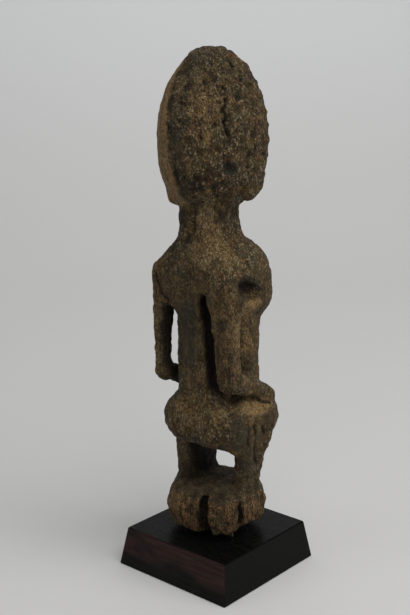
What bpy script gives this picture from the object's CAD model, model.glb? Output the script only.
"""The looks of a carved ancestor figure on its plinth: crusted wood, blackened wood and a steel pin."""
import math
from typing import NamedTuple

import bpy
import numpy as np
from mathutils import Matrix, Vector
from mathutils.bvhtree import BVHTree


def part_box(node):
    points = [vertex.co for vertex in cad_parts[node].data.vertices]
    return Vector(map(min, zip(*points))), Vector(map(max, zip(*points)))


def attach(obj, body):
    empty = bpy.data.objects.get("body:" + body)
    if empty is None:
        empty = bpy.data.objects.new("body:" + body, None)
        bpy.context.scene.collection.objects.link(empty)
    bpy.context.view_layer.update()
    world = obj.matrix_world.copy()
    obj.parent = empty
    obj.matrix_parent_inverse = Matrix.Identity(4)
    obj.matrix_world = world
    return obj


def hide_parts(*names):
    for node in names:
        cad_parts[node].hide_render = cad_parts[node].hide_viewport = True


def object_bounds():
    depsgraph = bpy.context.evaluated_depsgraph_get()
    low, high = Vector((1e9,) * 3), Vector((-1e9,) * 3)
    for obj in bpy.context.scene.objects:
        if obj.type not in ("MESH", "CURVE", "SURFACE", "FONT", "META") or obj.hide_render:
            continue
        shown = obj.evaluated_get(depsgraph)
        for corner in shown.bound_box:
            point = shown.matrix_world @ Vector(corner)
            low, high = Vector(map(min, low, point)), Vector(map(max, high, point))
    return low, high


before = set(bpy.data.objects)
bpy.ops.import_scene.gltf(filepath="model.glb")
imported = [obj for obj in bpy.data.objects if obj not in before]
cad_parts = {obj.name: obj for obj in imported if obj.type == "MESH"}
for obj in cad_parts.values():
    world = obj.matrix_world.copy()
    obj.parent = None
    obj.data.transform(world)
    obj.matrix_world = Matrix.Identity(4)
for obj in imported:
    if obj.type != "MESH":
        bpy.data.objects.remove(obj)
cad_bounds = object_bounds()

MM = 0.001
PER_MM = 1000.0

# Fine skin, in millimetres
CELL = 0.85
PIN_GAP = 0.3

# Smoothing of the skin: rounds over the figure and over the face, and how far each step moves in and out
SMOOTH_ROUNDS = 8
FACE_ROUNDS = 3
STEP_IN = 0.6
STEP_OUT = -0.55

# Levels that the finish refers to, in millimetres above the plinth's underside
BLOCK_TOP = 52.0
SEAT = 106.0
SHOULDERS = 180.0
NECK = 207.0
CROWN = cad_bounds[1][2] * PER_MM

# Edges of the surface's regions in millimetres: the place where each starts and the place where it is full
HEAD_FROM = (NECK, NECK + 6)
FACE_FROM = (NECK + 2, NECK + 6)
FACE_UP_TO = (272, 264)
FACE_AHEAD = (12, 18)
FACE_ASIDE = (22, 17)
TRUNK_FROM = (SEAT, SEAT + 8)
TRUNK_UP_TO = (SHOULDERS, SHOULDERS - 10)
DOME_FROM = (BLOCK_TOP - 8, BLOCK_TOP - 3)
DOME_UP_TO = (BLOCK_TOP + 12, BLOCK_TOP + 2)


# Noise that is the same each run. Places are rows of (side, ahead, up) in millimetres, and these whole
# numbers scatter a cell's place and a seed over all values.
PLACE_FACTORS = np.array([374761393, 668265263, 1440662683])
SEED_FACTOR = 144665
LAST_FACTOR = 1274126177
LONG_WORD = 0xFFFFFFFF
SHORT_WORD = 0xFFFF
LAYER_SHIFT = 17.3


def hashed(cells, seed):
    """A number from 0 to 1 for each row of whole numbers."""
    mixed = cells @ PLACE_FACTORS + seed * SEED_FACTOR
    mixed = (mixed ^ (mixed >> 13)) & LONG_WORD
    mixed = (mixed * LAST_FACTOR) & LONG_WORD
    mixed = mixed ^ (mixed >> 16)
    return (mixed & SHORT_WORD) / SHORT_WORD


def noise(places, size, seed):
    """Smooth noise from -1 to 1. Its lumps are about size across: one number, or one for each axis."""
    scaled = places / np.asarray(size, float)
    cells = np.floor(scaled).astype(np.int64)
    part = scaled - cells
    eased_part = part * part * part * (part * (part * 6 - 15) + 10)
    total = np.zeros(len(places))
    for corner in np.ndindex(2, 2, 2):
        step = np.array(corner)
        weight = np.prod(np.where(step == 1, eased_part, 1 - eased_part), axis=1)
        total += weight * hashed(cells + step, seed)
    return total * 2 - 1


def layered_noise(places, size, seed, layers=3, keep=0.55):
    """Layers of noise, each half the size of the one before and keep times as strong."""
    strengths = [keep**layer for layer in range(layers)]
    sizes = [np.asarray(size, float) / 2**layer for layer in range(layers)]
    total = sum(
        strength * noise(places + LAYER_SHIFT * layer, sizes[layer], seed + layer)
        for layer, strength in enumerate(strengths))
    return total / sum(strengths)


def cell_distance(places, size, seed):
    """Distance to the nearest of scattered spots, one to a cell, as a share of the cell's size."""
    scaled = places / size
    cells = np.floor(scaled).astype(np.int64)
    nearest = np.full(len(places), np.inf)
    for offset in np.ndindex(3, 3, 3):
        near = cells + np.array(offset) - 1
        spot = near + np.stack([hashed(near, seed + axis) for axis in range(3)], axis=1)
        nearest = np.minimum(nearest, np.linalg.norm(spot - scaled, axis=1))
    return nearest


def ramp(values, low, high):
    """0 below low, 1 above high, smooth between. It falls instead where low is the larger."""
    part = np.clip((values - low) / (high - low), 0, 1)
    return part * part * (3 - 2 * part)


def spots(places, size, seed, edge, middle):
    """Scattered spots, 0 from their edge outward and 1 near their middle. Both are shares of the size."""
    return ramp(cell_distance(places, size, seed), edge, middle)


def islands(places, size, seed, low, high):
    """Patches where smooth noise rises above low, full above high."""
    return ramp(noise(places, size, seed), low, high)


# The figure's fine skin
def fine_copy(node, name):
    """The node's form, meshed again in small even cells."""
    piece = bpy.data.objects.new(name, node.data.copy())
    bpy.context.scene.collection.objects.link(piece)
    remesh = piece.modifiers.new("cells", "REMESH")
    remesh.mode = "VOXEL"
    remesh.voxel_size = CELL * MM
    remesh.use_smooth_shade = True
    piece.data = bpy.data.meshes.new_from_object(piece.evaluated_get(bpy.context.evaluated_depsgraph_get()))
    piece.data.name = name
    piece.modifiers.clear()
    return piece


def read_rows(collection, attribute, width, kind=np.float32):
    flat = np.empty(len(collection) * width, kind)
    collection.foreach_get(attribute, flat)
    return flat.reshape(-1, width)


def to_terms(rows):
    """Rows of x, y, z turned into side, ahead, up, or back again."""
    return rows * np.array([-1.0, -1.0, 1.0])


def write_places(mesh, places):
    mesh.vertices.foreach_set("co", (to_terms(places) * MM).ravel())
    mesh.update()


def eased(rows, edges, share):
    """Each row moved by a share of the way to the mean of its neighbours."""
    count = np.bincount(edges.ravel(), minlength=len(rows))
    mean = np.empty_like(rows)
    for column in range(rows.shape[1]):
        ends = rows[:, column]
        total = np.bincount(edges[:, 0], ends[edges[:, 1]], len(rows))
        total += np.bincount(edges[:, 1], ends[edges[:, 0]], len(rows))
        mean[:, column] = total / count
    return rows + share * (mean - rows)


def smoothed(places, edges):
    """Takes the facets off without shrinking the form: a step in, then a step out. The face gets fewer."""
    face = face_share(places)[:, None]
    for number in range(SMOOTH_ROUNDS):
        after = eased(eased(places, edges, STEP_IN), edges, STEP_OUT)
        held = face if number >= FACE_ROUNDS else 0.0
        places = held * places + (1 - held) * after
    return places


def face_share(places):
    """1 over the features of the face and 0 away from them."""
    side, ahead, up = places.T
    level = ramp(up, *FACE_FROM) * ramp(up, *FACE_UP_TO)
    return ramp(ahead, *FACE_AHEAD) * ramp(np.abs(side), *FACE_ASIDE) * level


def spread_directions(count):
    """Directions spread evenly over a ball."""
    step = np.arange(count) + 0.5
    up = 1 - 2 * step / count
    golden_angle = math.pi * (3 - math.sqrt(5))
    turn = step * golden_angle
    level = np.sqrt(1 - up * up)
    return np.stack([level * np.cos(turn), level * np.sin(turn), up], axis=1)


def closed_in(places, normals, edges):
    """How far the wood around shuts each place in: 0 in the open, near 1 deep in a gap."""
    reach, lift, least_facing, directions = 24.0, 1.2, 0.1, 26
    ease_rounds, ease_share = 6, 0.7
    tree = BVHTree.FromObject(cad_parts["figure"], bpy.context.evaluated_depsgraph_get())
    starts = to_terms(places + normals * lift) * MM
    shut = np.zeros(len(places))
    seen = np.zeros(len(places))
    for direction in spread_directions(directions):
        facing = normals @ direction
        rows = np.flatnonzero(facing > least_facing)
        aim = Vector(to_terms(direction))
        found = [tree.ray_cast(start, aim, reach * MM)[3] for start in starts[rows].tolist()]
        nearness = [0.0 if distance is None else 1 - distance * PER_MM / reach for distance in found]
        shut[rows] += facing[rows] * nearness
        seen[rows] += facing[rows]
    share = (shut / seen)[:, None]
    for _ in range(ease_rounds):
        share = eased(share, edges, ease_share)
    return share[:, 0]


# Cracks and creases
class Crack(NamedTuple):
    """Places along it, half its width at the start and at the end, its depth, and its darkness up to 1."""

    path: list
    half_widths: tuple
    depth: float
    dark: float


HEAD_CRACKS = [
    Crack([(17.5, -11.5, 276), (19.6, -15.2, 270), (20.2, -16.2, 265.7)], (0.9, 1.1), 1.6, 0.85),
    Crack([(21.2, -15.6, 266), (21.5, -18, 259.9), (22.6, -17.6, 255.5)], (1.25, 1.15), 2.6, 1.0),
    Crack([(21.6, -18.2, 256), (22.6, -18.4, 252.5), (23.8, -17.2, 248.4)], (1.2, 0.9), 2.2, 1.0),
    Crack([(19.8, -2.2, 277.8), (22.3, -6.6, 271), (23.3, -10.2, 265.5)], (0.9, 0.8), 1.8, 0.8),
    Crack([(14.5, -4.5, 285), (16.5, -4.5, 282.5)], (1.0, 1.0), 1.4, 1.0),
    Crack([(-4.6, -20, 278), (-2.4, -30.5, 264), (-1.6, -32.4, 252)], (1.3, 1.3), 1.0, 0.5),
    Crack([(-3.0, -13.5, 284), (-5.0, -23, 275), (-3.4, -31.7, 261.7)], (1.2, 1.2), 0.9, 0.5),
    Crack([(-1.2, -32.5, 250), (-1.4, -32.5, 240), (1.3, -32.2, 225.5), (3, -29, 221)], (1.1, 1.3), 0.9, 0.6),
    Crack([(25.5, -9.5, 233), (24.5, -6.5, 226), (22.5, -4.0, 217)], (1.3, 1.2), 0.9, 0.5),
    Crack([(2.8, -19.5, 210), (2.0, -19.6, 203), (1.8, -19.8, 197)], (1.2, 1.1), 1.0, 0.7),
]

# The oval recess low on the back of the head, and the hollow under the right shoulder
HOLLOWS = [
    Crack([(22.9, -17.4, 232), (24.9, -12.6, 230.4)], (2.7, 2.5), 1.5, 0.5),
    Crack([(26.2, -10.5, 169.0), (25.6, -4, 167.5), (26.6, -1.0, 166.8)], (5.0, 4.0), 1.4, 0.4),
]

# At the left shoulder, in the slot behind the right arm, and between the right forearm and the thigh
ARM_CRACKS = [
    Crack([(-24.3, -22.6, 172), (-22.6, -22.7, 167.5), (-20.4, -22.6, 163)], (0.9, 1.8), 1.2, 0.8),
    Crack([(-19.5, -22.5, 160.5), (-16, -21.5, 158.5)], (1.6, 1.4), 1.0, 0.6),
    Crack([(9, -17.5, 163), (9.6, -16.8, 144), (11, -15.4, 128), (11.6, -14.6, 113)], (3.0, 5.2), 2.6, 0.92),
    Crack(
        [(14, -12, 110), (19, -13, 108), (22, -5, 105.4), (26, 7, 102.4), (29, 12.7, 99.8)],
        (2.8, 0.9), 1.4, 0.95),
]

KNEE_CRACKS = [
    Crack([(29.0, -1.2, 89.5), (27.6, 1.0, 83), (26.4, 2.5, 77), (25.3, 4.6, 66)], (1.1, 0.9), 1.2, 0.85),
    Crack([(28.4, -5.4, 90), (27.0, -4.4, 83), (25.2, -2.2, 77)], (0.8, 0.8), 0.8, 0.6),
    Crack([(29.5, 5.0, 88), (29.1, 7.6, 83.5)], (1.1, 1.0), 1.1, 0.8),
]

# Two wide splits in the foot block, and finer ones round it
BLOCK_CRACKS = [
    Crack([(10.8, -21.5, 24), (10.2, -21.5, 34), (9.4, -21, 42), (8.4, -20.0, 50)], (3.1, 1.9), 4.6, 1.0),
    Crack([(25.4, -8.0, 25), (24.9, -8.0, 36), (24.7, -8.4, 46)], (2.2, 0.8), 2.6, 1.0),
    Crack([(19.6, -12.5, 50), (21.0, -14.5, 44), (21.2, -15.0, 38)], (0.8, 0.6), 0.6, 0.6),
    Crack([(-13.5, -22.8, 42), (-13.5, -22.3, 33), (-13.0, -20.5, 28)], (0.8, 0.7), 0.8, 0.8),
    Crack([(-4.5, -25.2, 40), (-4.2, -24.6, 31), (-4.0, -22.5, 27)], (0.7, 0.9), 0.7, 0.8),
    Crack([(-2.0, 26.5, 45), (-2.6, 28.0, 36), (-3.0, 26.0, 27)], (0.9, 2.0), 1.8, 1.0),
]

# Lines under the eyelids and between the lips, given for the right half and cut on both
FACE_LINES = [
    Crack([(4.8, 23.4, 252.4), (9.8, 25.2, 251.4), (15.0, 22.4, 252.2)], (1.1, 1.0), 1.3, 0.95),
    Crack([(-0.5, 26.8, 225.6), (4.0, 25.8, 225.6), (7.4, 23.0, 225.8)], (1.2, 1.0), 1.1, 0.9),
]

# How far the lines stray, and the groove's section, measured across it in half widths
CRACK_WAVER = 0.6
FACE_WAVER = 0.15
WAVER_SIZE = 3.0
FLOOR_DEPTH = 1.15
GROOVE_REACH = 1.3
SHADE_EDGES = (1.2, 0.4)


def crack_depths(places):
    """How deep each place lies in a crack, in millimetres, and how dark it is there from 0 to 1."""
    cracks = HEAD_CRACKS + HOLLOWS + ARM_CRACKS + KNEE_CRACKS + BLOCK_CRACKS
    depth, shade = line_depths(places, cracks, CRACK_WAVER)
    mirrored = places.copy()
    mirrored[:, 0] = np.abs(places[:, 0])
    face_depth, face_shade = line_depths(mirrored, FACE_LINES, FACE_WAVER)
    return np.maximum(depth, face_depth), np.maximum(shade, face_shade)


def line_depths(places, lines, waver):
    """The same for one list of lines, which waver from side to side by so many millimetres."""
    wander = np.stack([waver * noise(places, WAVER_SIZE, seed=71 + axis) for axis in range(3)], axis=1)
    moved = places + wander
    depth = np.zeros(len(places))
    shade = np.zeros(len(places))
    for line in lines:
        first_width, last_width = line.half_widths
        for number, (start, end) in enumerate(zip(line.path, line.path[1:])):
            start = np.array(start, float)
            run = end - start
            along = np.clip((moved - start) @ run / (run @ run), 0, 1)
            off = np.linalg.norm(moved - start - along[:, None] * run, axis=1)
            part = (number + along) / (len(line.path) - 1)
            across = off / (first_width + (last_width - first_width) * part)
            depth = np.maximum(depth, line.depth * np.clip(FLOOR_DEPTH - across / GROOVE_REACH, 0, 1))
            shade = np.maximum(shade, line.dark * ramp(across, *SHADE_EDGES))
    return depth, shade


# Patches of the surface
class Patch(NamedTuple):
    """Its middle, its reach to the side, ahead and up in millimetres, and its strength from 0 to 1."""

    middle: tuple
    reach: tuple
    strength: float


# Where the crust has worn down to tan wood
BARE_PATCHES = [
    Patch((14, -24, 262), (9, 6, 11), 0.6),
    Patch((28, -3, 141), (7, 12, 27), 0.8),
    Patch((22, -21, 128), (3, 5, 20), 0.5),
    Patch((28.6, -3.5, 86), (2.4, 2.0, 11), 1.0),
    Patch((27, 2, 99.5), (9, 12, 5), 0.7),
    Patch((-24, -22, 168), (5, 5, 5), 0.7),
    Patch((8, -16, 190), (8, 8, 12), 0.4),
]

# Where dust lies on the crust and makes it paler
PALE_PATCHES = [
    Patch((29, -3, 140), (8, 14, 27), 0.9),
    Patch((25, 1, 99.5), (10, 14, 5), 0.85),
    Patch((14, -20, 186), (16, 12, 12), 0.6),
    Patch((8, -22, 262), (18, 14, 18), 0.4),
    Patch((2, -21, 97), (22, 14, 13), 0.5),
    Patch((10, -17, 202), (14, 9, 14), 0.6),
    Patch((-24, -20, 150), (7, 9, 44), 0.35),
    Patch((-14, -24, 34), (12, 7, 18), 0.4),
]

# Where the crust is dark and grey-green
COOL_PATCHES = [
    Patch((24, -15, 231), (4, 5, 5), 1.0),
    Patch((3, -32, 243), (9, 6, 12), 0.4),
    Patch((28, -8, 168), (4, 9, 8), 0.8),
    Patch((-3, -19, 146), (11, 8, 24), 0.85),
    Patch((25, -10, 84), (5, 8, 16), 0.8),
    Patch((25, 0, 66), (6, 8, 14), 0.7),
    Patch((-14, -14, 104), (8, 9, 7), 0.4),
    Patch((-10, -19, 204), (6, 6, 9), 0.6),
]

# Where soot and grease have stayed: behind the arms, between the legs, in and round the splits, and in spots
BLACK_PATCHES = [
    Patch((-19.5, -16, 142), (5.2, 9, 33), 1.0),
    Patch((25.5, -6, 166.5), (5, 8, 6), 0.45),
    Patch((-9, 0, 74), (10, 17, 22), 1.0),
    Patch((-10.5, 6, 60), (4, 12, 11), 1.0),
    Patch((2, 15, 51), (12, 7, 5), 0.5),
    Patch((8.8, -19.5, 36), (3.3, 5.5, 17), 1.0),
    Patch((21, -16, 36), (14, 16, 20), 0.32),
    Patch((24, -14.8, 231.2), (2.4, 3.4, 2.8), 0.55),
    Patch((-1.6, -31.4, 263.7), (3, 3, 4.5), 0.6),
    Patch((26.8, -8.5, 250.6), (2.2, 2.6, 3), 0.6),
    Patch((27.9, -1.7, 247.7), (2, 2.4, 3), 0.6),
    Patch((24.6, -5.1, 265.3), (2.4, 2.4, 4), 0.5),
]

# Where the crust lies smooth and even
PLAIN_PATCHES = [
    Patch((26, 2, 92), (9, 14, 16), 0.7),
    Patch((25, -4, 72), (8, 12, 18), 0.7),
    Patch((0, -20, 146), (14, 8, 26), 0.4),
    Patch((28, 0, 138), (5, 9, 27), 0.7),
    Patch((-19, -3, 66), (10, 14, 20), 0.6),
]


def patch_share(places, patches):
    """How much of the patches' surface each place has, with ragged edges."""
    raggedness, ragged_size, outer_edge, inner_edge = 0.35, 7.0, 1.15, 0.6
    ragged = raggedness * layered_noise(places, ragged_size, seed=83, layers=2)
    share = np.zeros(len(places))
    for patch in patches:
        off = np.linalg.norm((places - patch.middle) / patch.reach, axis=1) + ragged
        share = np.maximum(share, patch.strength * ramp(off, outer_edge, inner_edge))
    return share


# Regions of the surface
def region_shares(places, normals):
    """Where each kind of surface shows, as shares from 0 to 1."""
    up = places[:, 2]
    upright = 1 - np.abs(normals[:, 2])
    steep, steepest = 0.3, 0.7
    head = ramp(up, *HEAD_FROM)
    block = block_share(places, upright)
    dome = ramp(up, *DOME_FROM) * ramp(up, *DOME_UP_TO)
    trunk = ramp(up, *TRUNK_FROM) * ramp(up, *TRUNK_UP_TO) * ramp(upright, steep, steepest)
    return {
        "everywhere": np.ones(len(places)),
        "block": block,
        "dome": dome * (1 - block),
        "trunk": trunk,
        "head": head,
        "left_strip": head * left_strip_share(places),
        "back_band": head * back_band_share(places),
        "face": face_share(places),
    }


def block_share(places, upright):
    """The foot block's worn sides, below a wavering edge."""
    below_top, waver, fade, steep, steepest = 4, 1.2, 2.5, 0.2, 0.6
    edge = BLOCK_TOP - below_top + waver * noise(places, size=6.0, seed=7)
    return ramp(places[:, 2], edge, edge - fade) * ramp(upright, steep, steepest)


def strayed_side(places):
    """How far to the side each place is, strayed a little so that an upright edge is ragged."""
    stray = 1.5
    return places[:, 0] + stray * noise(places, size=(5, 5, 9), seed=5)


def left_strip_share(places):
    """The strip of the head left of a leaning edge at its back. It fades out round the side."""
    middle_height, lean, edge = 246, 0.1, (-1.0, -3.5)
    fade, fade_depth, fade_size = (2, -18), 9, (12, 12, 18)
    across = strayed_side(places) + lean * (places[:, 2] - middle_height)
    front = places[:, 1] + fade_depth * layered_noise(places, fade_size, seed=89)
    return ramp(across, *edge) * ramp(front, *fade)


def back_band_share(places):
    """The dark band down the middle of the head's back."""
    middle, edge, back = 3.5, (6.0, 3.0), (-8, -16)
    return ramp(np.abs(strayed_side(places) - middle), *edge) * ramp(places[:, 1], *back)


# Depths of the relief in millimetres, as what holds everywhere and what a region adds or takes
GRAIN_DEPTH = {"everywhere": 0.2, "block": 0.3, "left_strip": 0.16, "trunk": 0.14}
CRUST_DEPTH = {"everywhere": 0.52, "head": 0.33, "left_strip": -0.45, "trunk": -0.2}
SWELL_DEPTH = {"everywhere": 0.4, "trunk": -0.2}
GRIT_DEPTH = {"everywhere": 0.42}
LUMP_DEPTH = {"everywhere": 0.5}
KNOB_DEPTH = {"head": 0.75}
PIT_DEPTH = {"everywhere": 0.35, "head": 0.45}
CHIP_DEPTH = {"everywhere": 0.18, "block": 0.27}

# How far worn and plain patches level the relief
BARE_LEVELLING = 0.6
PLAIN_LEVELLING = 0.75


def depth_of(depths, regions):
    return sum(depth * regions[name] for name, depth in depths.items())


def crust_relief(places, regions, bare, plain):
    """Height of the crust, grain and pits over the smooth form, in millimetres."""
    grain = layered_noise(places, size=(2.4, 2.4, 15), seed=31, layers=2)
    crust = layered_noise(places, size=4.6, seed=41, layers=2, keep=0.8)
    grit = noise(places, size=2.3, seed=43)
    swell = noise(places, size=13.0, seed=47)
    pitted = islands(places, size=17.0, seed=53, low=-0.1, high=0.5)
    pits = pitted * spots(places, size=4.6, seed=59, edge=0.34, middle=0.12)
    lumpy = islands(places, size=15.0, seed=57, low=0.0, high=0.4)
    lumps = lumpy * spots(places, size=3.6, seed=67, edge=0.4, middle=0.1)
    knobs = spots(places, size=7.0, seed=73, edge=0.42, middle=0.12)
    chips = islands(places, size=(6, 6, 10), seed=61, low=0.45, high=0.6)

    rough = depth_of(CRUST_DEPTH, regions) * crust
    rough += depth_of(GRIT_DEPTH, regions) * grit
    rough += depth_of(SWELL_DEPTH, regions) * swell
    rough += depth_of(LUMP_DEPTH, regions) * lumps
    rough += depth_of(KNOB_DEPTH, regions) * knobs
    rough -= depth_of(PIT_DEPTH, regions) * pits
    rough -= depth_of(CHIP_DEPTH, regions) * chips
    rough *= 1 - BARE_LEVELLING * bare * (1 - regions["block"])
    rough *= 1 - PLAIN_LEVELLING * plain
    return depth_of(GRAIN_DEPTH, regions) * grain + rough


def surface_shares(places, normals, edges, regions):
    """How worn, dusty, cool, even, grained and shut in each place is, as shares from 0 to 1."""
    band_coolness, strip_evenness, strip_grain = 0.6, 0.5, 0.6
    sooty, sootiest, soot_under_dust = 0.14, 0.6, 0.5
    block, left_strip = regions["block"], regions["left_strip"]
    bare = np.maximum.reduce([patch_share(places, BARE_PATCHES), block, left_strip])
    pale = np.maximum(patch_share(places, PALE_PATCHES), left_strip)
    cool = np.maximum(patch_share(places, COOL_PATCHES), band_coolness * regions["back_band"])
    plain = np.maximum(patch_share(places, PLAIN_PATCHES), regions["face"])
    plain = np.maximum(plain, strip_evenness * left_strip)
    grained = np.maximum.reduce([block, strip_grain * left_strip, regions["trunk"]])
    closed = ramp(closed_in(places, normals, edges), sooty, sootiest) * (1 - soot_under_dust * pale)
    closed = np.maximum(closed, patch_share(places, BLACK_PATCHES))
    return {"bare": bare, "pale": pale, "cool": cool, "plain": plain, "grained": grained, "closed": closed,
            "dome": regions["dome"]}


def keep_clear_of_pin(places):
    """Holds the foot block's wood off the pin that is glued into it."""
    low, high = (to_terms(np.array(corner) * PER_MM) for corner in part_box("mounting_pin"))
    middle = (low + high) / 2
    hole = abs(high[0] - low[0]) / 2 + PIN_GAP
    offset = places[:, :2] - middle[:2]
    distance = np.linalg.norm(offset, axis=1)
    on_axis = 0.3
    near = (distance < hole) & (distance > on_axis) & (places[:, 2] < high[2] + PIN_GAP)
    places[near, :2] = middle[:2] + offset[near] / distance[near, None] * hole
    return places


def add_shares(mesh, shares):
    """Keeps a share for each vertex where the materials can read it."""
    for name, values in shares.items():
        layer = mesh.attributes.new(name, "FLOAT", "POINT")
        layer.data.foreach_set("value", np.clip(values, 0, 1).astype(np.float32))


def sculpt_figure():
    """The figure's form with the relief of its crust, grain and cracks."""
    raised_middle, raised_per_mm = 0.5, 0.4
    figure = fine_copy(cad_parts["figure"], "figure_carving")
    mesh = figure.data
    edges = read_rows(mesh.edges, "vertices", 2, np.int32)
    places = smoothed(to_terms(read_rows(mesh.vertices, "co", 3).astype(float) * PER_MM), edges)
    write_places(mesh, places)
    normals = to_terms(read_rows(mesh.vertex_normals, "vector", 3).astype(float))
    regions = region_shares(places, normals)
    shares = surface_shares(places, normals, edges, regions)
    height = crust_relief(places, regions, shares["bare"], shares["plain"])
    depth, shade = crack_depths(places)
    places = places + normals * (height - depth)[:, None]
    places[:, 2] = np.clip(places[:, 2], None, CROWN)
    write_places(mesh, keep_clear_of_pin(places))
    add_shares(mesh, shares | {"raised": raised_middle + raised_per_mm * height, "cracked": shade})
    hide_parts("figure")
    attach(figure, "root")
    return figure


# Materials
class Shader:
    """A material's nodes. Each step adds one node or a few and gives back the main output."""

    def __init__(self, name):
        self.material = bpy.data.materials.new(name)
        self.material.use_nodes = True
        self.tree = self.material.node_tree
        self.surface = self.tree.nodes["Principled BSDF"]

    def set(self, node, socket, value):
        target = node.inputs[socket]
        if isinstance(value, bpy.types.NodeSocket):
            self.tree.links.new(value, target)
        else:
            target.default_value = value

    def finish(self, **inputs):
        for socket, value in inputs.items():
            self.set(self.surface, socket.replace("_", " "), value)
        return self.material

    def places(self, stretch=(1, 1, 1)):
        """Object coordinates in millimetres, drawn out by the given factors."""
        source = self.tree.nodes.new("ShaderNodeTexCoord")
        scaled = self.tree.nodes.new("ShaderNodeMapping")
        self.set(scaled, "Vector", source.outputs["Object"])
        self.set(scaled, "Scale", [PER_MM / factor for factor in stretch])
        return scaled.outputs["Vector"]

    def noise(self, size, stretch=(1, 1, 1), detail=3.0, rough=0.55, warp=0.0):
        """Noise from 0 to 1 whose lumps are about size millimetres across."""
        node = self.tree.nodes.new("ShaderNodeTexNoise")
        self.set(node, "Vector", self.places(stretch))
        self.set(node, "Scale", 1 / size)
        self.set(node, "Detail", detail)
        self.set(node, "Roughness", rough)
        self.set(node, "Distortion", warp)
        return node.outputs["Fac"]

    def crumbs(self, size, stretch=(1, 1, 1)):
        """Uneven grains about size millimetres across: 1 at the middle of each and 0 in the gaps between."""
        wander_size, gap, middle = size / 0.6, 0.72, 0.2
        wander = self.tree.nodes.new("ShaderNodeTexNoise")
        self.set(wander, "Vector", self.places(stretch))
        self.set(wander, "Scale", 1 / wander_size)
        shift = self.tree.nodes.new("ShaderNodeVectorMath")
        shift.operation = "ADD"
        self.set(shift, 0, self.places(stretch))
        self.set(shift, 1, wander.outputs["Color"])
        node = self.tree.nodes.new("ShaderNodeTexVoronoi")
        self.set(node, "Vector", shift.outputs["Vector"])
        self.set(node, "Scale", 1 / size)
        return self.ramp(node.outputs["Distance"], gap, middle)

    def part(self, kind, axis):
        """One part of the object's own places, in metres, or of its normals."""
        source = self.tree.nodes.new("ShaderNodeTexCoord")
        parts = self.tree.nodes.new("ShaderNodeSeparateXYZ")
        self.set(parts, "Vector", source.outputs[kind])
        return parts.outputs[axis]

    def share(self, name):
        """A share that add_shares kept on the mesh."""
        node = self.tree.nodes.new("ShaderNodeAttribute")
        node.attribute_name = name
        return node.outputs["Fac"]

    def ramp(self, value, low, high):
        """0 at low and 1 at high, or the other way round."""
        node = self.tree.nodes.new("ShaderNodeMapRange")
        node.interpolation_type = "SMOOTHSTEP"
        self.set(node, "Value", value)
        self.set(node, "From Min", low)
        self.set(node, "From Max", high)
        return node.outputs["Result"]

    def math(self, operation, first, second):
        node = self.tree.nodes.new("ShaderNodeMath")
        node.operation = operation
        self.set(node, 0, first)
        self.set(node, 1, second)
        return node.outputs["Value"]

    def plus(self, first, second):
        return self.math("ADD", first, second)

    def times(self, first, second):
        return self.math("MULTIPLY", first, second)

    def between(self, share, none, full):
        """A number that runs from none to full with the share."""
        return self.plus(self.times(share, full - none), none)

    def mix(self, share, first, second):
        """The first colour turned towards the second by the share."""
        node = self.tree.nodes.new("ShaderNodeMix")
        node.data_type = "RGBA"
        self.set(node, 0, share)
        self.set(node, 6, first)
        self.set(node, 7, second)
        return node.outputs[2]

    def coat(self, colour, share, strength, cover):
        """The colour under another one, which shows by the share times the strength."""
        return self.mix(self.times(share, strength), colour, cover)

    def bump(self, height, depth):
        """Normals for a relief of depth millimetres."""
        node = self.tree.nodes.new("ShaderNodeBump")
        self.set(node, "Height", height)
        self.set(node, "Distance", depth * MM)
        return node.outputs["Normal"]


def tone(red, green, blue):
    """A colour from 0 to 255 sRGB values."""
    def linear(value):
        value /= 255
        return value / 12.92 if value <= 0.04045 else ((value + 0.055) / 1.055) ** 2.4
    return (linear(red), linear(green), linear(blue), 1.0)


class Stain(NamedTuple):
    """Its noise, the noise where it starts and where it is full, its strength and its colour."""

    size: float
    stretch: tuple
    detail: int
    rough: float
    edges: tuple
    strength: float
    colour: tuple


# Rust, moss, ash and ochre on the crust
STAINS = [
    Stain(6.5, (1, 1, 1), 4, 0.65, (0.54, 0.66), 0.55, tone(116, 74, 48)),
    Stain(6.0, (1, 1, 1.6), 4, 0.65, (0.54, 0.64), 0.6, tone(68, 70, 52)),
    Stain(4.7, (1, 1, 1.8), 3, 0.6, (0.56, 0.66), 0.5, tone(86, 78, 72)),
    Stain(5.3, (1, 1, 1), 3, 0.6, (0.56, 0.66), 0.5, tone(128, 100, 50)),
]
STAIN_WARP = 0.8


def stained_crust(s):
    """The crust's own mottled brown with its stains."""
    mottle = s.ramp(s.noise(12, detail=4, rough=0.65, warp=0.6), 0.4, 0.6)
    colour = s.mix(mottle, tone(66, 53, 32), tone(92, 75, 46))
    for stain in STAINS:
        spread = s.noise(stain.size, stain.stretch, stain.detail, stain.rough, STAIN_WARP)
        colour = s.coat(colour, s.ramp(spread, *stain.edges), stain.strength, stain.colour)
    return colour


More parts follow.
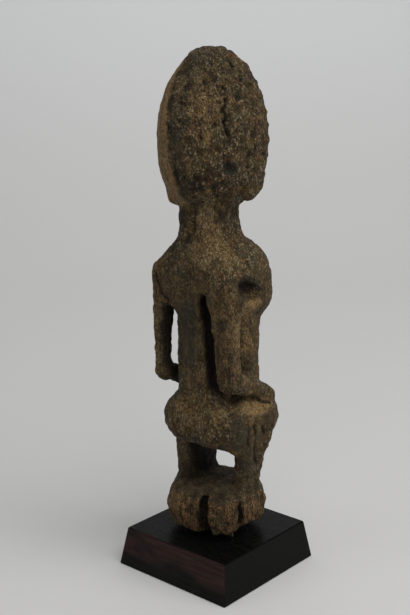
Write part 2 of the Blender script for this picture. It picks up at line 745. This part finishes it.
def crusted_wood():
    s = Shader("crusted wood")
    upright = (1, 1, 1.4)
    grit = s.noise(1.0, stretch=upright, detail=2, rough=0.7)
    lumps = s.noise(4.5, detail=4, rough=0.62, warp=0.3)
    grain = s.noise(1.1, stretch=(1, 1, 9), detail=4, rough=0.62)
    streaks = s.noise(2.2, stretch=(1, 1, 7), detail=3, rough=0.6, warp=0.2)
    crust = s.plus(s.times(s.ramp(grit, 0.3, 0.7), 0.5), s.times(s.crumbs(1.5, upright), 0.22))
    crust = s.plus(crust, s.times(s.ramp(lumps, 0.3, 0.7), 0.28))
    grained = s.share("grained")
    rugged = s.between(s.share("plain"), 1.0, 0.3)

    # Worn wood and dust over the stained crust
    wood = s.mix(s.ramp(grain, 0.34, 0.66), tone(62, 42, 24), tone(126, 92, 54))
    colour = s.coat(stained_crust(s), s.share("bare"), s.ramp(lumps, 0.34, 0.58), wood)
    dust = s.times(s.share("pale"), s.between(s.ramp(crust, 0.2, 0.7), 0.45, 1.0))
    colour = s.coat(colour, dust, 0.68, tone(156, 128, 84))

    # Dark and pale grain, strongest on the foot block, the trunk and the strip of the head
    colour = s.coat(colour, s.ramp(grain, 0.46, 0.34), s.between(grained, 0.3, 0.65), tone(30, 22, 14))
    colour = s.coat(colour, s.ramp(streaks, 0.5, 0.62), s.times(grained, 0.4), tone(134, 108, 70))

    # Pale tops of the crumbs, the cool patches, and the dark gaps between the crumbs
    glint = s.times(rugged, s.between(grained, 0.5, 0.26))
    colour = s.coat(colour, s.ramp(crust, 0.58, 0.8), glint, tone(170, 153, 120))
    colour = s.coat(colour, s.share("cool"), 0.72, tone(55, 55, 45))
    colour = s.coat(colour, s.ramp(crust, 0.44, 0.26), s.times(rugged, 0.5), tone(22, 15, 7))

    # Low places, the block's dome, soot and cracks
    colour = s.coat(colour, s.ramp(s.share("raised"), 0.44, 0.16), 0.7, tone(24, 18, 12))
    dome_tone = s.mix(s.ramp(lumps, 0.36, 0.64), tone(36, 30, 20), tone(78, 67, 44))
    colour = s.coat(colour, s.share("dome"), 0.65, dome_tone)
    colour = s.coat(colour, s.share("closed"), 0.88, tone(15, 13, 9))
    colour = s.coat(colour, s.share("cracked"), 0.95, tone(7, 6, 4))

    relief = s.times(s.plus(crust, s.times(grain, 0.5)), s.between(rugged, 0.4, 1.0))
    return s.finish(Base_Color=colour, Roughness=s.between(crust, 0.6, 0.8), Normal=s.bump(relief, 2.2),
                    Specular_IOR_Level=0.18)


def blackened_wood():
    """Black finish that has worn to red-brown on the two sides along the grain."""
    s = Shader("blackened wood")
    along = (24, 1, 1)
    grain = s.ramp(s.noise(0.9, stretch=along, detail=4, rough=0.65), 0.4, 0.66)
    cloud = s.ramp(s.noise(14, stretch=(3, 1, 1), detail=2), 0.3, 0.54)
    broad_side = s.ramp(s.math("ABSOLUTE", s.part("Normal", 1), 0.0), 0.5, 0.8)
    top = s.ramp(s.part("Normal", 2), 0.5, 0.8)
    above_foot = s.ramp(s.part("Object", 2), 5 * MM, 10 * MM)
    dark = s.mix(broad_side, tone(17, 17, 16), tone(25, 25, 24))
    dark = s.mix(top, dark, tone(5, 5, 5))
    dark = s.mix(grain, dark, tone(15, 15, 14))
    red_brown = s.mix(grain, tone(42, 31, 28), tone(66, 46, 40))
    worn = s.times(s.times(cloud, broad_side), above_foot)
    colour = s.coat(dark, worn, 0.85, red_brown)
    rough = s.ramp(s.noise(5, detail=4, rough=0.6), -1.0, 3.2)
    normal = s.bump(s.noise(1.1, stretch=along, detail=2), 0.03)
    return s.finish(Base_Color=colour, Roughness=rough, Normal=normal, Specular_IOR_Level=0.05)


def drawn_steel():
    s = Shader("drawn steel")
    scratches = s.noise(0.4, stretch=(1, 1, 20), detail=2)
    colour = s.mix(s.ramp(scratches, 0.4, 0.6), tone(92, 88, 78), tone(128, 124, 112))
    return s.finish(Base_Color=colour, Metallic=1.0, Roughness=s.ramp(scratches, -0.6, 1.6),
                    Normal=s.bump(scratches, 0.03))


def pale_paper():
    """Paper that is paler where it rises behind the figure."""
    s = Shader("pale paper")
    low, high = 0.0, 0.5
    rise = s.ramp(s.part("Object", 2), low, high)
    colour = s.mix(rise, tone(199, 198, 197), tone(219, 220, 220))
    colour = s.coat(colour, s.noise(180, detail=2), 0.06, tone(190, 190, 192))
    return s.finish(Base_Color=colour, Roughness=0.9, Specular_IOR_Level=0.1)


def finish_pieces():
    figure = sculpt_figure()
    figure.data.materials.clear()
    figure.data.materials.append(crusted_wood())
    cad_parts["plinth"].material_slots[0].material = blackened_wood()
    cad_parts["mounting_pin"].material_slots[0].material = drawn_steel()


# Camera, backdrop and lights
AZIMUTH, ELEVATION, ROLL = 221.16, 13.81, -0.35


def view_axes(azimuth, elevation, roll=0.0):
    """Right, up and back for a view in degrees; azimuth 0 looks along +Y."""
    turn, rise, tilt = (math.radians(angle) for angle in (azimuth, elevation, roll))
    back = Vector((math.sin(turn) * math.cos(rise), -math.cos(turn) * math.cos(rise), math.sin(rise)))
    right = (-back).cross(Vector((0, 0, 1))).normalized()
    up = right.cross(-back)
    rolled_right = right * math.cos(tilt) + up * math.sin(tilt)
    rolled_up = up * math.cos(tilt) - right * math.sin(tilt)
    return rolled_right, rolled_up, back


def place_facing(thing, aim, axes, distance):
    thing.matrix_world = Matrix.Translation(aim + axes[2] * distance) @ Matrix(axes).transposed().to_4x4()
    bpy.context.scene.collection.objects.link(thing)


def add_camera():
    distance, aim_across, aim_height = 0.58694, -0.00578, 0.15196
    focal_pixels, image_height, sensor = 1063.42, 615, 36.0
    data = bpy.data.cameras.new("camera")
    data.sensor_width = sensor
    data.lens = sensor * focal_pixels / image_height
    data.clip_start = 0.01
    camera = bpy.data.objects.new("camera", data)
    turn = math.radians(AZIMUTH)
    aim = Vector((aim_across * math.cos(turn), aim_across * math.sin(turn), aim_height))
    place_facing(camera, aim, view_axes(AZIMUTH, ELEVATION, ROLL), distance)
    bpy.context.scene.camera = camera


def add_backdrop():
    """A sheet that lies flat under the plinth and curves up behind it."""
    near, far, bend, top, reach, steps = -1.5, 0.7, 0.9, 2.6, 2.5, 24
    profile = [(near, 0.0), (far, 0.0)]
    for step in range(1, steps + 1):
        turn = math.radians(90 * step / steps)
        profile.append((far + bend * math.sin(turn), bend * (1 - math.cos(turn))))
    profile.append((far + bend, top))
    right, _, back = view_axes(AZIMUTH, 0)
    points = []
    for run, rise in profile:
        for across in (-reach, reach):
            points.append(right * across - back * run + Vector((0, 0, rise)))
    faces = [(2 * n, 2 * n + 1, 2 * n + 3, 2 * n + 2) for n in range(len(profile) - 1)]
    mesh = bpy.data.meshes.new("backdrop")
    mesh.from_pydata(points, [], faces)
    mesh.polygons.foreach_set("use_smooth", [True] * len(faces))
    mesh.materials.append(pale_paper())
    backdrop = bpy.data.objects.new("backdrop", mesh)
    bpy.context.scene.collection.objects.link(backdrop)


def add_light(name, aim, azimuth, elevation, distance, size, power):
    data = bpy.data.lights.new(name, "AREA")
    data.energy = power
    data.shape = "RECTANGLE"
    data.size, data.size_y = size
    place_facing(bpy.data.objects.new(name, data), aim, view_axes(azimuth, elevation), distance)


def add_lights():
    """Soft light from above on the right, weaker light from each side, and a wash over the paper behind."""
    figure_height, paper_height, paper_distance = 0.15, 0.05, 1.0
    figure = Vector((0, 0, figure_height))
    paper = Vector((0, 0, paper_height)) - paper_distance * view_axes(AZIMUTH, 0)[2]
    add_light("top window", figure, AZIMUTH + 35, elevation=60, distance=1.3, size=(1.0, 1.0), power=14)
    add_light("right window", figure, AZIMUTH + 70, elevation=20, distance=1.3, size=(0.6, 1.0), power=4.2)
    add_light("left window", figure, AZIMUTH - 70, elevation=30, distance=1.4, size=(0.7, 1.0), power=1.9)
    add_light("paper wash", paper, AZIMUTH, elevation=80, distance=0.8, size=(1.8, 0.5), power=3.2)


def add_sky():
    """Weak, slightly blue light from all round."""
    colour, strength = (0.97, 0.985, 1.0, 1), 0.25
    world = bpy.data.worlds.new("studio")
    world.use_nodes = True
    background = world.node_tree.nodes["Background"]
    background.inputs["Color"].default_value = colour
    background.inputs["Strength"].default_value = strength
    bpy.context.scene.world = world


finish_pieces()
add_camera()
add_backdrop()
add_sky()
add_lights()
bpy.context.scene.view_settings.view_transform = "Standard"
